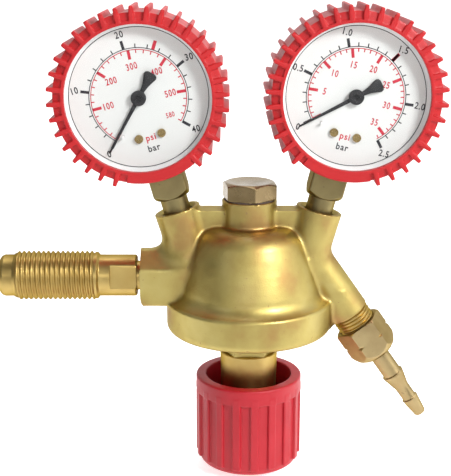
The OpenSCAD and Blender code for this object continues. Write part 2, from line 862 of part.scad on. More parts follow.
module movement(side) {
    half_w = 13;
    top_y = 6;
    back_low_y = -23.5;
    front_low_y = -20;
    pillar_x = 11;
    pillar_y = [3.5, -18];
    pillar_r = 1.3;
    post_r = 1.6;
    gap = front_plate_z - back_plate_z - plate_t;
    color(turned_brass) in_gauge(side) difference() {
        union() {
            translate([-half_w, back_low_y, back_plate_z])
                cube([2 * half_w, top_y - back_low_y, plate_t]);
            translate([-half_w, front_low_y, front_plate_z])
                cube([2 * half_w, top_y - front_low_y, plate_t]);
            for (x = [-pillar_x, pillar_x], y = pillar_y)
                translate([x, y, back_plate_z + plate_t - eps])
                    cylinder(r = pillar_r, h = gap + 2 * eps, $fn = 24);
            at_dial_screws() translate([0, 0, front_plate_z])
                cylinder(r = post_r, h = dial_z - front_plate_z, $fn = 24);
        }
        for (y = [0, sector_y]) translate([0, y, 0])
            hole(arbor_r + turning, back_plate_z - cut, front_plate_z + plate_t + cut);
        at_dial_screws() hole(dial_screw_shank_r + fit, dial_z - dial_screw_depth, dial_z + cut);
    }
}

module pinion(side) {
    overhang = 0.3;
    color(steel) in_gauge(side) union() {
        hole(arbor_r, back_plate_z, dial_z + 1.6);
        translate([0, 0, gear_z - overhang]) linear_extrude(gear_t + 2 * overhang)
            polygon(gear_outline(pinion_teeth, 0, pinion_teeth - 1));
    }
}

module sector(side) {
    first = -5;
    last = 5;
    middle = 90 - sector_swing / 2;
    hub_r = 2.2;
    arm_w = 2;
    pin_r = 0.6;
    pin_len = 1.1;
    color(turned_brass) in_gauge(side) translate([0, sector_y, 0]) union() {
        hole(arbor_r, back_plate_z, front_plate_z + plate_t);
        rotate([0, 0, middle]) translate([0, 0, gear_z]) linear_extrude(gear_t) union() {
            polygon(concat([[0, 0]], gear_outline(sector_teeth, first, last)));
            circle(r = hub_r, $fn = 32);
        }
        rotate([0, 0, tail_angle]) translate([0, -arm_w / 2, gear_z]) cube([tail_arm, arm_w, gear_t]);
        translate(concat(polar(tail_arm, tail_angle), gear_z - pin_len))
            cylinder(r = pin_r, h = gear_t + pin_len);
    }
}

module link(side) {
    near = [0, sector_y] + polar(tail_arm, tail_angle);
    far = polar(19.5, 201);
    span = far - near;
    eye_r = 1.3;
    eye_bore_r = 0.65;
    bar_w = 1.4;
    t = 0.8;
    color(turned_brass) in_gauge(side) translate(concat(near, gear_z - 1))
        rotate([0, 0, atan2(span[1], span[0])]) difference() {
            union() {
                cylinder(r = eye_r, h = t);
                translate([0, -bar_w / 2, 0]) cube([norm(span), bar_w, t]);
                translate([norm(span), 0, 0]) cylinder(r = eye_r, h = t);
            }
            for (x = [0, norm(span)]) translate([x, 0, 0]) hole(eye_bore_r, -cut, t + cut);
        }
}

module hairspring(side) {
    low = 7.2;
    strip_h = 0.8;
    strip_t = 0.25;
    color(steel) in_gauge(side) translate([0, 0, low]) linear_extrude(strip_h)
        polygon(spiral(1.8, 5, 4, strip_t));
}

module dial(side) {
    color(dial_white) in_gauge(side) difference() {
        hole(case_r - case_wall - 0.3, dial_z, dial_z + dial_t);
        hole(staff_clearance_r, dial_z - cut, dial_z + 2 * cut);
        at_dial_screws() hole(dial_screw_shank_r + fit, dial_z - cut, dial_z + 2 * cut);
        at_stop_pin() hole(stop_pin_r + fit, dial_z - cut, dial_z + 2 * cut);
    }
}

module dial_screws(side) {
    face = dial_z + dial_t;
    head_r = 1.65;
    head_t = 0.9;
    color(turned_brass) in_gauge(side) at_dial_screws() union() {
        hole(dial_screw_shank_r, face - dial_screw_depth, face + eps);
        hole(head_r, face, face + head_t);
    }
}

module stop_pin(side) {
    rise = 2.1;
    color(dial_white) in_gauge(side) at_stop_pin() hole(stop_pin_r, dial_z, dial_z + dial_t + rise);
}

module pointer(side) {
    low = dial_z + dial_t + 0.9;
    t = 0.5;
    turn = side == "left" ? left_dial_turn : right_dial_turn;
    tip = 24.4;
    tip_half = 0.35;
    root_half = 0.8;
    neck = -3.5;
    neck_half = 0.7;
    tail = -10.4;
    tail_half = 2.2;
    hub_r = 2.95;
    hub_t = 1.2;
    boss_r = 1.8;
    boss_t = 0.7;
    color(black_paint) in_gauge(side) rotate([0, 0, -90 - zero_angle - turn]) difference() {
        union() {
            translate([0, 0, low]) linear_extrude(t) polygon([
                [neck, -neck_half], [0, -root_half], [tip, -tip_half], [tip, tip_half], [0, root_half],
                [neck, neck_half], [tail, tail_half], [tail - 0.8, 0], [tail, -tail_half]]);
            hole(hub_r, low, low + hub_t);
            hole(boss_r, low - boss_t, low + t);
        }
        hole(arbor_r + 0.02, low - cut, low + 0.6);
    }
}

module inner_ring(side) {
    low = dial_z + dial_t;
    inner_r = 27;
    outer_r = case_r - case_wall - 0.1;
    color(dial_white) in_gauge(side) turned([
        [inner_r, low], [outer_r, low], [outer_r, case_front], [inner_r + 1.6, case_front],
        [inner_r, low + 0.6]]);
}

module window(side) {
    color(clear, 0.35) in_gauge(side) hole(case_r - 0.1, case_front, case_front + window_t);
}

// ---------------------------------------------------------------- parts

body();
bonnet();
spring_housing();
valve_cap();
cap_washer();
nozzle();
poppet();
seat_pad();
valve_spring();
push_pin();
diaphragm();
diaphragm_plate();
lift_stud();
diaphragm_nut();
slip_ring();
main_spring();
spring_button();
thrust_ball();
adjusting_screw();
knob();
knob_screw();
knob_cap();
inlet_nipple();
inlet_filter();
inlet_seal();
union_nut();
hose_tail();
cover("left");  // left_cover
case_shell("left");  // left_case
socket("left");  // left_socket
bourdon_tube("left");  // left_bourdon_tube
movement("left");  // left_movement
sector("left");  // left_sector
link("left");  // left_link
hairspring("left");  // left_hairspring
pinion("left");  // left_pinion
dial("left");  // left_dial
dial_screws("left");  // left_dial_screws
stop_pin("left");  // left_stop_pin
pointer("left");  // left_pointer
inner_ring("left");  // left_inner_ring
window("left");  // left_window
cover("right");  // right_cover
case_shell("right");  // right_case
socket("right");  // right_socket
bourdon_tube("right");  // right_bourdon_tube
movement("right");  // right_movement
sector("right");  // right_sector
link("right");  // right_link
hairspring("right");  // right_hairspring
pinion("right");  // right_pinion
dial("right");  // right_dial
dial_screws("right");  // right_dial_screws
stop_pin("right");  // right_stop_pin
pointer("right");  // right_pointer
inner_ring("right");  // right_inner_ring
window("right");  // right_window
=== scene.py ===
"""Looks of a two-gauge acetylene regulator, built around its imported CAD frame.

Shapes are worked out in millimetres in a few local frames (body, outlet, gauges) and
placed in metres. Forged and moulded pieces are distance fields meshed by dual contouring,
so that their fillets flow together while machined edges stay crisp. Turned pieces are
lathed profiles, and threads are swept along their helix.
"""
import json
import math

import bmesh
import bpy
import numpy as np
from mathutils import Matrix, Vector


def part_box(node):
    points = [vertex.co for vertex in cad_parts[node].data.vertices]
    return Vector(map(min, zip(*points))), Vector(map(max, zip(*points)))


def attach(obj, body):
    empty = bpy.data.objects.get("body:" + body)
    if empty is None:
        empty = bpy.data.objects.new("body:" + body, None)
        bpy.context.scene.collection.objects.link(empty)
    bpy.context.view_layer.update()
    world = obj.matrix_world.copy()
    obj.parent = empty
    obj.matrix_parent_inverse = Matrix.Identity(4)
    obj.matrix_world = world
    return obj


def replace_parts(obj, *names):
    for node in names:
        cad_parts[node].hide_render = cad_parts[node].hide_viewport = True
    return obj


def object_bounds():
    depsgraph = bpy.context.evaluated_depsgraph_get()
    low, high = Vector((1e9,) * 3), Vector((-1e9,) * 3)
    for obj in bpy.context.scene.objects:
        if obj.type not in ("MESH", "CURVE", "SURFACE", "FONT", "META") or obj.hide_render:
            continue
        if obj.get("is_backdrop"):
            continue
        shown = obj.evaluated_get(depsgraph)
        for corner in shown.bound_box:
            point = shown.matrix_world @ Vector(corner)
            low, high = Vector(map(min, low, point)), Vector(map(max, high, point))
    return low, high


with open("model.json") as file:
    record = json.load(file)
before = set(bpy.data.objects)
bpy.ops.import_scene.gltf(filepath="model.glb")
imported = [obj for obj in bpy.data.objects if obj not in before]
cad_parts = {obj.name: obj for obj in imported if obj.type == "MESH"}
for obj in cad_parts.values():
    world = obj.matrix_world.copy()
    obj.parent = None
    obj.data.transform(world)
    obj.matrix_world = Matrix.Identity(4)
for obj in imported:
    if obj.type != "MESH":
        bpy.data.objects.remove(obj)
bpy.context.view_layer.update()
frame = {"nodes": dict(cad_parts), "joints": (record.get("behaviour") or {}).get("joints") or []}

MM = 0.001
SIDES = ("left", "right")

# ---------------------------------------------------------------- local frames

joints = {j["name"]: j for j in frame["joints"]}


def middle(node):
    low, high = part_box(node)
    return (low + high) / 2


def axes(origin, x, y, z):
    """Matrix from a local frame in millimetres to the row frame in metres."""
    m = Matrix((x, y, z)).transposed().to_4x4()
    m = m @ Matrix.Scale(MM, 4)
    m.translation = origin
    return m


BODY_X = middle("spring_housing").x
X, Y, Z = Vector((1, 0, 0)), Vector((0, 1, 0)), Vector((0, 0, 1))
BODY = axes(Vector((BODY_X, 0, 0)), X, Y, Z)
INLET = axes(Vector((BODY_X, 0, 0)), Z, Y, -X)

outlet_out = -Vector(joints["union_nut_turn"]["axis"]).normalized()
OUTLET = axes(Vector(joints["union_nut_turn"]["pos_m"]), Y.cross(outlet_out), Y, outlet_out)


def gauge_axes(side):
    """The gauge seen from the front: x to the right, y up its stem, z towards the reader."""
    centre = Vector(joints[f"{side}_pointer_turn"]["pos_m"])
    up = (centre - Vector(joints[f"{side}_sector_turn"]["pos_m"])).normalized()
    return axes(centre, up.cross(-Y), up, -Y)


GAUGE = {side: gauge_axes(side) for side in SIDES}

# ---------------------------------------------------------------- dimensions, millimetres

GAUGE_TILT = {"left": -16.0, "right": 14.0}
BOSS_X = {"left": -29.4, "right": 28.3}
BOSS_TOP = 28.0
STEM = 48.8  # from a boss to the centre of its gauge
COVER_TURN = {"left": -2.6, "right": -0.4}
DIAL_TURN = {"left": -0.5, "right": 3.5}
COVER_R, COVER_TIP = 32.5, 34.8
COVER_BACK, COVER_FRONT = -9.6, 20.0
WINDOW_R = 28.1
RIBS, RIB_PITCH = 31, 360 / 35.9
DIAL_FACE = 14.5
ZERO_AT, SWEEP = -135, 270  # degrees: direction of a dial's zero, and its clockwise sweep

# ---------------------------------------------------------------- mesh helpers


def add_object(name, mesh, place):
    mesh.transform(place)
    mesh.validate()
    obj = bpy.data.objects.new(name, mesh)
    bpy.context.scene.collection.objects.link(obj)
    return obj


def smooth(obj, angle=32):
    """Smooth shading, with edges sharper than the angle kept."""
    mesh = obj.data
    mesh.polygons.foreach_set("use_smooth", [True] * len(mesh.polygons))
    mesh.set_sharp_from_angle(angle=math.radians(angle))
    mesh.update()
    return obj


def mesh_from(name, points, faces, place, angle=32, weld=1e-6):
    """A mesh whose points closer than weld are merged, with its normals turned outwards."""
    mesh = bpy.data.meshes.new(name)
    mesh.from_pydata([tuple(p) for p in points], [], [tuple(f) for f in faces])
    bm = bmesh.new()
    bm.from_mesh(mesh)
    bmesh.ops.remove_doubles(bm, verts=bm.verts, dist=weld)
    bmesh.ops.dissolve_degenerate(bm, dist=weld, edges=bm.edges)
    bmesh.ops.recalc_face_normals(bm, faces=bm.faces)
    bm.to_mesh(mesh)
    bm.free()
    return smooth(add_object(name, mesh, place), angle)


STRAIGHT = -0.985  # cosine at a corner that is left as it is


def rounded(profile, radius, steps=3):
    """The profile with each inner corner cut back by an arc of about the radius.

    A point (r, z, own) has its own radius instead."""
    pts = [np.array(p[:2], float) for p in profile]
    out = [pts[0]]
    for before, here, after, spec in zip(pts, pts[1:], pts[2:], profile[1:]):
        r = spec[2] if len(spec) > 2 else radius
        a, b = before - here, after - here
        la, lb = np.linalg.norm(a), np.linalg.norm(b)
        if r <= 0 or la < 1e-6 or lb < 1e-6:
            out.append(here)
            continue
        cosine = float(np.clip(a @ b / la / lb, -1, 1))
        if cosine < STRAIGHT:
            out.append(here)
            continue
        back = min(r / math.tan(math.acos(cosine) / 2), 0.45 * la, 0.45 * lb)
        start, end = here + a / la * back, here + b / lb * back
        for i in range(steps + 1):
            t = i / steps
            out.append((1 - t) ** 2 * start + 2 * t * (1 - t) * here + t * t * end)
    out.append(pts[-1])
    return out


def lathe(name, profile, place, radius=0.25, segments=96, angle=32, shape=None):
    """Turns a closed (r, z) profile about the local z axis. shape(points) may then cut flats."""
    pts = rounded(profile + profile[:2], radius)[1:-1]
    rows = len(pts)
    turn = np.linspace(0, 2 * np.pi, segments, endpoint=False)
    verts = np.array([(r * math.cos(t), r * math.sin(t), z) for t in turn for r, z in pts])
    if shape:
        verts = shape(verts)
    faces = []
    for i in range(segments):
        j = (i + 1) % segments
        for k in range(rows):
            n = (k + 1) % rows
            faces.append((i * rows + k, j * rows + k, j * rows + n, i * rows + n))
    return mesh_from(name, verts, faces, place, angle)


# One pitch of a thread: share of the pitch, share of the height
THREAD_FORM = (
    (0.0, 1.0), (0.125, 1.0), (0.19, 0.86), (0.44, 0.06), (0.5, 0.0), (0.62, 0.0), (0.68, 0.06), (0.93, 0.86))


def thread(name, place, major, minor, pitch, low, high, hand=1, fade=1.2, segments=96):
    """A thread swept along its helix, running out smoothly at both ends."""
    turns = math.ceil((high - low) / pitch) + 2
    rows = turns * len(THREAD_FORM)
    verts = []
    for i in range(segments + 1):
        share = i / segments
        for k in range(rows):
            part, height = THREAD_FORM[k % len(THREAD_FORM)]
            z = low - pitch + pitch * (k // len(THREAD_FORM) + part + share)
            at = min(max(z, low), high)
            run = min(1.0, (at - low) / fade, (high - at) / fade)
            r = minor + (major - minor) * height * max(0.0, run)
            a = hand * 2 * math.pi * share
            verts.append((r * math.cos(a), r * math.sin(a), at))
    faces = [
        (i * rows + k, (i + 1) * rows + k, (i + 1) * rows + k + 1, i * rows + k + 1)
        for i in range(segments) for k in range(rows - 1)
    ]
    return mesh_from(name, verts, faces, place, angle=50, weld=1e-4)


def join(name, *objs):
    """Joins pieces into the first and welds what meets."""
    bm = bmesh.new()
    for obj in objs:
        bm.from_mesh(obj.data)
    bmesh.ops.remove_doubles(bm, verts=bm.verts, dist=2e-6)
    first = objs[0]
    bm.to_mesh(first.data)
    bm.free()
    for obj in objs[1:]:
        bpy.data.objects.remove(obj)
    first.name = name
    return first


# ---------------------------------------------------------------- distance fields


def smooth_min(a, b, k):
    h = np.clip(0.5 + 0.5 * (b - a) / k, 0, 1)
    return b + (a - b) * h - k * h * (1 - h)


def smooth_max(a, b, k):
    return -smooth_min(-a, -b, k)


def box_field(p, half, r=0.0):
    q = np.abs(p) - (np.array(half) - r)
    outside = np.linalg.norm(np.maximum(q, 0), axis=-1)
    return outside + np.minimum(q.max(axis=-1), 0) - r


def cylinder_field(p, r, low, high, r_low=None, edge=0.0):
    """A cylinder or slight cone about z, with rounded edges."""
    radial = np.hypot(p[..., 0], p[..., 1])
    mid, half = (low + high) / 2, (high - low) / 2
    reach = r if r_low is None else r_low + (r - r_low) * np.clip((p[..., 2] - low) / (high - low), 0, 1)
    q = np.stack([radial - reach + edge, np.abs(p[..., 2] - mid) - half + edge], axis=-1)
    return np.linalg.norm(np.maximum(q, 0), axis=-1) + np.minimum(q.max(axis=-1), 0) - edge


def turned_field(p, outline):
    """Distance to the solid of revolution of a closed (r, z) outline."""
    q = np.stack([np.hypot(p[..., 0], p[..., 1]), p[..., 2]], axis=-1)
    best = np.full(q.shape[:-1], 1e9)
    inside = np.zeros(q.shape[:-1], bool)
    for (ax, ay), (bx, by) in zip(outline, outline[1:] + outline[:1]):
        ex, ey = bx - ax, by - ay
        wx, wy = q[..., 0] - ax, q[..., 1] - ay
        t = np.clip((wx * ex + wy * ey) / (ex * ex + ey * ey + 1e-12), 0, 1)
        best = np.minimum(best, (wx - t * ex) ** 2 + (wy - t * ey) ** 2)
        if ay != by:
            crosses = (ay > q[..., 1]) != (by > q[..., 1])
            inside ^= crosses & (q[..., 0] < ax + (q[..., 1] - ay) * ex / ey)
    return np.where(inside, -1, 1) * np.sqrt(best)


def sample(field, low, count, step, block=6):
    """The field on a grid, worked out in full only in blocks that the surface may cross."""
    blocks = -(-count // block)
    at = np.stack(np.meshgrid(*[np.arange(n) for n in blocks], indexing="ij"), axis=-1)
    coarse = field(low + step * (at.reshape(-1, 3) * block + (block - 1) / 2)).reshape(blocks)
    near = np.abs(coarse) < 1.3 * step * block * math.sqrt(3) / 2
    for axis in range(3):
        coarse, near = np.repeat(coarse, block, axis), np.repeat(near, block, axis)
    crop = tuple(slice(0, n) for n in count)
    value, near = coarse[crop].copy(), near[crop]
    idx = np.argwhere(near)
    value[near] = field(low + step * idx)
    return value


def contour(name, field, low, high, step, place, angle=38):
    """Meshes a distance field by dual contouring: one vertex in each crossed cell, set
    where the planes through its crossings meet, so that edges stay sharp."""
    low = np.array(low, float)
    count = np.ceil((np.array(high) - low) / step).astype(int) + 1
    value = sample(field, low, count, step)
    inside = value < 0
    cells = tuple(count - 1)
    planes = np.zeros((int(np.prod(cells)), 13))
    quads = []
    h = 0.02 * step
    for axis in range(3):
        near, far = [slice(None)] * 3, [slice(None)] * 3
        near[axis], far[axis] = slice(0, -1), slice(1, None)
        idx = np.argwhere(inside[tuple(near)] != inside[tuple(far)])
        u, v = [k for k in range(3) if k != axis]
        idx = idx[(idx[:, u] > 0) & (idx[:, v] > 0) & (idx[:, u] < cells[u]) & (idx[:, v] < cells[v])]
        starts_in = inside[tuple(idx.T)]
        along = np.eye(3)[axis] * step
        start = low + step * idx
        a, b = np.zeros(len(idx)), np.ones(len(idx))
        for _ in range(6):
            t = (a + b) / 2
            same = (field(start + along * t[:, None]) < 0) == starts_in
            a, b = np.where(same, t, a), np.where(same, b, t)
        pts = start + along * ((a + b) / 2)[:, None]
        normal = np.stack([field(pts + h * e) - field(pts - h * e) for e in np.eye(3)], axis=1)
        normal /= np.linalg.norm(normal, axis=1, keepdims=True) + 1e-12
        nx, ny, nz = normal.T
        d = (normal * pts).sum(1)
        row = np.stack([nx * nx, ny * ny, nz * nz, nx * ny, nx * nz, ny * nz, nx * d, ny * d, nz * d,
                        *pts.T, np.ones(len(pts))], axis=1)
        ring = np.repeat(idx[:, None, :], 4, axis=1)
        for corner, (du, dv) in enumerate(((-1, -1), (0, -1), (0, 0), (-1, 0))):
            ring[:, corner, u] += du
            ring[:, corner, v] += dv
        flat = np.ravel_multi_index(tuple(ring.reshape(-1, 3).T), cells).reshape(-1, 4)
        for corner in range(4):
            for k in range(13):
                planes[:, k] += np.bincount(flat[:, corner], row[:, k], len(planes))
        flip = starts_in if axis == 1 else ~starts_in
        flat[flip] = flat[flip][:, ::-1]
        quads.append(flat)
    used = np.flatnonzero(planes[:, 12])
    q = planes[used]
    mass = q[:, 9:12] / q[:, 12:]
    mat = q[:, [0, 3, 4, 3, 1, 5, 4, 5, 2]].reshape(-1, 3, 3)
    rest = q[:, 6:9] - np.einsum("nij,nj->ni", mat, mass)
    moved = np.linalg.solve(mat + 0.05 * np.eye(3), rest[..., None])[..., 0]
    floor = low + step * np.stack(np.unravel_index(used, cells), axis=1)
    points = np.clip(mass + moved, floor, floor + step)
    number = np.full(len(planes), -1, np.int64)
    number[used] = np.arange(len(used))
    faces = number[np.concatenate(quads)]
    mesh = bpy.data.meshes.new(name)
    mesh.vertices.add(len(points))
    mesh.vertices.foreach_set("co", points.astype(np.float32).ravel())
    mesh.loops.add(faces.size)
    mesh.loops.foreach_set("vertex_index", faces.astype(np.int32).ravel())
    mesh.polygons.add(len(faces))
    mesh.polygons.foreach_set("loop_start", np.arange(0, faces.size, 4, dtype=np.int32))
    mesh.update(calc_edges=True)
    return smooth(add_object(name, mesh, place), angle)


def arc(centre, r, start, end, steps):
    """Points on an arc, angles in degrees."""
    turn = np.radians(np.linspace(start, end, steps + 1))
    return [(centre[0] + r * math.cos(t), centre[1] + r * math.sin(t)) for t in turn]


def local(p, place):
    """Points of the body frame, seen from another frame, all in millimetres."""
    to = np.array(place.inverted() @ BODY)
    return p @ to[:3, :3].T + to[:3, 3]


def hex_field(p, flats, low, high, turn=0.0, round_edge=0.2):
    """A hexagonal prism about z, its corners slightly rounded."""
    a = math.radians(turn)
    sides = [np.abs(p[..., 0] * math.cos(a + k * math.pi / 3) + p[..., 1] * math.sin(a + k * math.pi / 3))
             for k in range(3)]
    side = smooth_max(smooth_max(sides[0], sides[1], round_edge), sides[2], round_edge) - flats / 2
    ends = np.maximum(low - p[..., 2], p[..., 2] - high)
    return smooth_max(side, ends, round_edge)


# ---------------------------------------------------------------- forged body

SKIRT_R, SKIRT_TOP, SKIRT_BOTTOM, DOME_TOP = 34.0, -9.5, -22.4, 21.5
CAP_BOSS_R, CAP_BOSS_TOP = 11.1, 32.0
BOSS_R, BOSS_LOW_R, BOSS_DEPTH = 9.3, 8.4, 32.0
BLOCK_FACE, BLOCK_LOW, BLOCK_HALF = 44.3, -10.4, 10.0
DIAPHRAGM_TOP, BONNET_BORE_R = -14.5, 29.5
CROWN, LIP = 10, 3

# Shoulder, long side, flare, skirt and lower lip
BELL = (
    [(0, DOME_TOP)] + arc((13.3, DOME_TOP - CROWN), CROWN, 90, 24, 12) + arc((-87.8, -31.9), 120, 23, 14, 6)
    + arc((SKIRT_R + 1.1, -3.0), 6.3, 194, 255, 10)
    + [(SKIRT_R - 0.25, SKIRT_TOP + 0.05), (SKIRT_R, SKIRT_TOP - 0.3)]
    + arc((SKIRT_R - LIP, SKIRT_BOTTOM + LIP), LIP, 0, -90, 6) + [(0, SKIRT_BOTTOM)]
)


def boss_axes(side):
    a = math.radians(GAUGE_TILT[side])
    up = Vector((math.sin(a), 0, math.cos(a)))
    turn = Matrix((up.cross(-Y), Y, up)).transposed().to_4x4()
    return BODY @ Matrix.Translation((BOSS_X[side], 0, BOSS_TOP)) @ turn


BOSS = {side: boss_axes(side) for side in SIDES}


def block_field(p):
    """The inlet block: a prism with a sloped, ridged top and a turned end."""
    x, y, z = p[..., 0], np.abs(p[..., 1]), p[..., 2]
    ridge, ridge_half, shoulder = 11.3, 2, 4.7
    slope = math.atan2(ridge - shoulder, BLOCK_HALF - ridge_half)
    top = (y - ridge_half) * math.sin(slope) + (z - ridge) * math.cos(slope)
    side = smooth_max(y - BLOCK_HALF, top, 0.8)
    side = smooth_max(side, z - ridge, 0.8)
    side = smooth_max(side, BLOCK_LOW - z, 1.2)
    along = np.hypot(y, z)
    turned_end = np.maximum(-BLOCK_FACE - x, (along - 11.8) * 0.42 + (-x - BLOCK_FACE) * 0.9)
    return smooth_max(np.maximum(side, x + 15), turned_end, 0.3)


def body_field(p):
    """The forging: bell, bosses, block and webs flow together, then the machining."""
    shape = turned_field(p, BELL)
    x, y, z = p[..., 0], p[..., 1], p[..., 2]
    cap_boss = cylinder_field(p, CAP_BOSS_R, 12, CAP_BOSS_TOP, edge=0.45)
    left, right = (
        cylinder_field(local(p, BOSS[s]), BOSS_R, -BOSS_DEPTH, 0, BOSS_LOW_R, edge=0.4) for s in SIDES)
    out = local(p, OUTLET)
    outlet = cylinder_field(out, 8.3, -30, 0, edge=0.3)
    web = smooth_max(np.abs(y) - 4.95, z - 28.25, 0.5)
    web = np.maximum(web, np.maximum(np.abs(x) - 24, 10 - z))
    shape = smooth_min(shape, web, 1.2)
    shape = smooth_min(shape, cap_boss, 1.6)
    shape = smooth_min(shape, smooth_min(left, block_field(p), 7.5), 1.8)
    shape = smooth_min(shape, right, 1.8)
    lower_web = np.maximum(np.abs(y) - 5.2, np.maximum(25 - x, np.abs(z + 14.2) - 7.0))
    lean = math.radians(12)
    slant = (x - 34.9) * math.cos(lean) - (z + 14) * math.sin(lean)
    lower_web = smooth_max(lower_web, slant, 1.5)
    shape = smooth_min(shape, smooth_min(outlet, lower_web, 3.5), 2.4)
    # Machined faces, then the bores
    for s in SIDES:
        shape = np.maximum(shape, -cylinder_field(local(p, BOSS[s]), 10.6, 0, 12))
    shape = np.maximum(shape, -cylinder_field(out, 14, 0, 12))
    shape = np.maximum(shape, SKIRT_BOTTOM - z)
    shape = np.maximum(shape, -turned_field(p, [
        (0, 40), (8.6, 40), (8, CAP_BOSS_TOP - 0.6), (8, 20), (6.5, 20), (6.5, -4), (4, -4), (4, -8),
        (25, -8), (25, DIAPHRAGM_TOP), (BONNET_BORE_R, DIAPHRAGM_TOP), (BONNET_BORE_R, -40), (0, -40)]))
    shape = np.maximum(shape, -cylinder_field(local(p, INLET), 6, BLOCK_FACE - 12, BLOCK_FACE + 4))
    for s in SIDES:
        bore = turned_field(local(p, BOSS[s]), [
            (0, -12), (6.6, -12), (6.6, -1.2), (8.1, 0.3), (8.1, 4), (0, 4)])
        shape = np.maximum(shape, -bore)
    return np.maximum(shape, -cylinder_field(out, 2.5, -22, 4))


# ---------------------------------------------------------------- moulded pieces


def fold(p, turn, pitch, count=None):
    """Polar coordinates folded onto the nearest of a row of spokes: across, out, along."""
    r = np.hypot(p[..., 0], p[..., 1])
    a = np.degrees(np.arctan2(p[..., 1], p[..., 0])) - turn
    a = (a + 180) % 360 - 180
    i = np.round(a / pitch)
    if count:
        i = np.clip(i, -(count // 2), count // 2)
    rest = np.radians(a - i * pitch)
    return np.stack([r * np.sin(rest), r * np.cos(rest), p[..., 2]], axis=-1)


def cover_field(turn):
    """A gauge cover: a drum with ribs that wrap onto its front, plain around the stem."""
    wall_r, slope = 29.3, math.radians(13)

    def field(p):
        z = p[..., 2]
        r = np.hypot(p[..., 0], p[..., 1])
        drum = cylinder_field(p, COVER_R, COVER_BACK, COVER_FRONT, edge=0.7)
        recess = (z - COVER_FRONT + 0.8) * math.cos(slope) + (r - wall_r) * math.sin(slope)
        drum = smooth_max(drum, recess, 0.3)
        rim = cylinder_field(p, wall_r, 0, COVER_FRONT, edge=0.35)
        spoke = fold(p, 90 + turn, RIB_PITCH, RIBS)
        taper = 1 + 0.14 * np.maximum(spoke[..., 1] - 31.5, 0)
        rib = np.stack([spoke[..., 0] * taper, spoke[..., 1] - (COVER_TIP + 28.6) / 2,
                        z - (COVER_FRONT + COVER_BACK + 1.6) / 2], axis=-1)
        rib = box_field(rib, (1.08, (COVER_TIP - 28.6) / 2, (COVER_FRONT - COVER_BACK - 1.6) / 2), 0.55)
        plain = cylinder_field(p, COVER_R, COVER_BACK, COVER_FRONT - 0.1, edge=0.7)
        side = np.degrees(np.arctan2(p[..., 0], -p[..., 1]))
        plain = np.maximum(plain, (np.abs(side) - 24.5) * math.radians(1) * COVER_R)
        shape = smooth_min(smooth_min(drum, rim, 0.2), rib, 0.35)
        shape = smooth_min(shape, plain, 0.4)
        shape = np.maximum(shape, -cylinder_field(p, 31.05, -8.2, 17.5))
        shape = smooth_max(shape, -cylinder_field(p, WINDOW_R, 10, 30), 0.35)
        shape = np.maximum(shape, -cylinder_field(p, 22, -20, 0))
        slot = p - np.array([0, -30.5, 0])
        return np.maximum(shape, -box_field(slot, (7.5, 6, 7.5), 0.4))

    return field


def knob_field():
    """The knob: a drum with rounded ribs between deep grooves, a smooth band and a cup."""
    top, low, r, groove = -42.6, -80.8, 22.0, 1.1
    cup_r, cup_floor, hub_r, hub_top = 17.8, -70.5, 9.5, -64.0
    band, foot_r = -49.3, 18.6
    outline = (
        [(0, -76.2), (7.1, -76.2), (7.1, low + 0.3), (7.4, low), (foot_r, low)]
        + arc((foot_r - 0.3, low + 2.4), 2.4, -75, 0, 6)
        + [(r - groove, low + 3.2), (r - groove, band - 0.3), (r - groove + 0.4, band)]
        + [(r - 0.1, band), (r, band + 0.15)]
        + arc((r - 0.8, top - 0.8), 0.8, 0, 90, 4) + arc((cup_r + 0.5, top - 0.5), 0.5, 90, 180, 3)
        + [(cup_r, cup_floor), (hub_r, cup_floor), (hub_r, hub_top), (5.1, hub_top), (5.1, -75), (0, -75)]
    )

    def field(p):
        spoke = fold(p, -84.4, 20)
        rib_low, rib_high = low + 2.8, band + 3
        rib = spoke - np.array([0, r - 1.5, (rib_low + rib_high) / 2])
        rib = box_field(rib, (1.75, 1.5, (rib_high - rib_low) / 2), 0.7)
        return smooth_min(turned_field(p, outline), rib, 0.5)

    return field


def valve_cap_field(p):
    """A hexagon plug with a chamfered corner ring, a dished top and a shank."""
    seat, top, flats = CAP_BOSS_TOP + 0.6, CAP_BOSS_TOP + 7.4, 20
    z, r = p[..., 2], np.hypot(p[..., 0], p[..., 1])
    head = hex_field(p, flats, seat, top, turn=10)
    chamfer = math.radians(25)
    head = smooth_max(head, (z - top) * math.cos(chamfer) + (r - 9.4) * math.sin(chamfer), 0.2)
    head = smooth_max(head, (seat - z) * 0.87 + (r - 10.9) * 0.5, 0.15)
    bowl_r = 60.0
    dish = bowl_r - np.hypot(r, z - (top + bowl_r - 0.65))
    head = smooth_max(head, dish, 0.12)
    shank = turned_field(p, [(4.5, 20.5), (7.95, 20.5), (7.95, seat + 1), (4.5, seat + 1)])
    return np.minimum(head, shank)


def union_nut_field(p):
    """A left-hand union nut: hexagon with notched corners and a domed end."""
    low, high, notch, flats = 6.0, 22.35, 13.4, 18
    z, r = p[..., 2], np.hypot(p[..., 0], p[..., 1])
    corner = flats / 2 / math.cos(math.pi / 6)
    outer = corner + 0.2
    dome = turned_field(p, [(0, low), (9.4, low), (outer, low + 0.9), (outer, 17.4), (9.75, 18.9),
                            (8.8, 20.5), (7.2, 21.7), (5.3, high), (0, high)])
    groove = 0.75 - np.abs(z - notch) - (corner - r) * 0.9
    shape = smooth_max(hex_field(p, flats, low, high, turn=24), dome, 0.2)
    shape = smooth_max(shape, groove * 0.74, 0.1)
    bore = turned_field(p, [(0, low - 1), (8.4, low - 1), (8.0, low + 0.5), (8.0, 15.1),
                            (4.05, 15.1), (4.05, 23), (0, 23)])
    return np.maximum(shape, -bore)


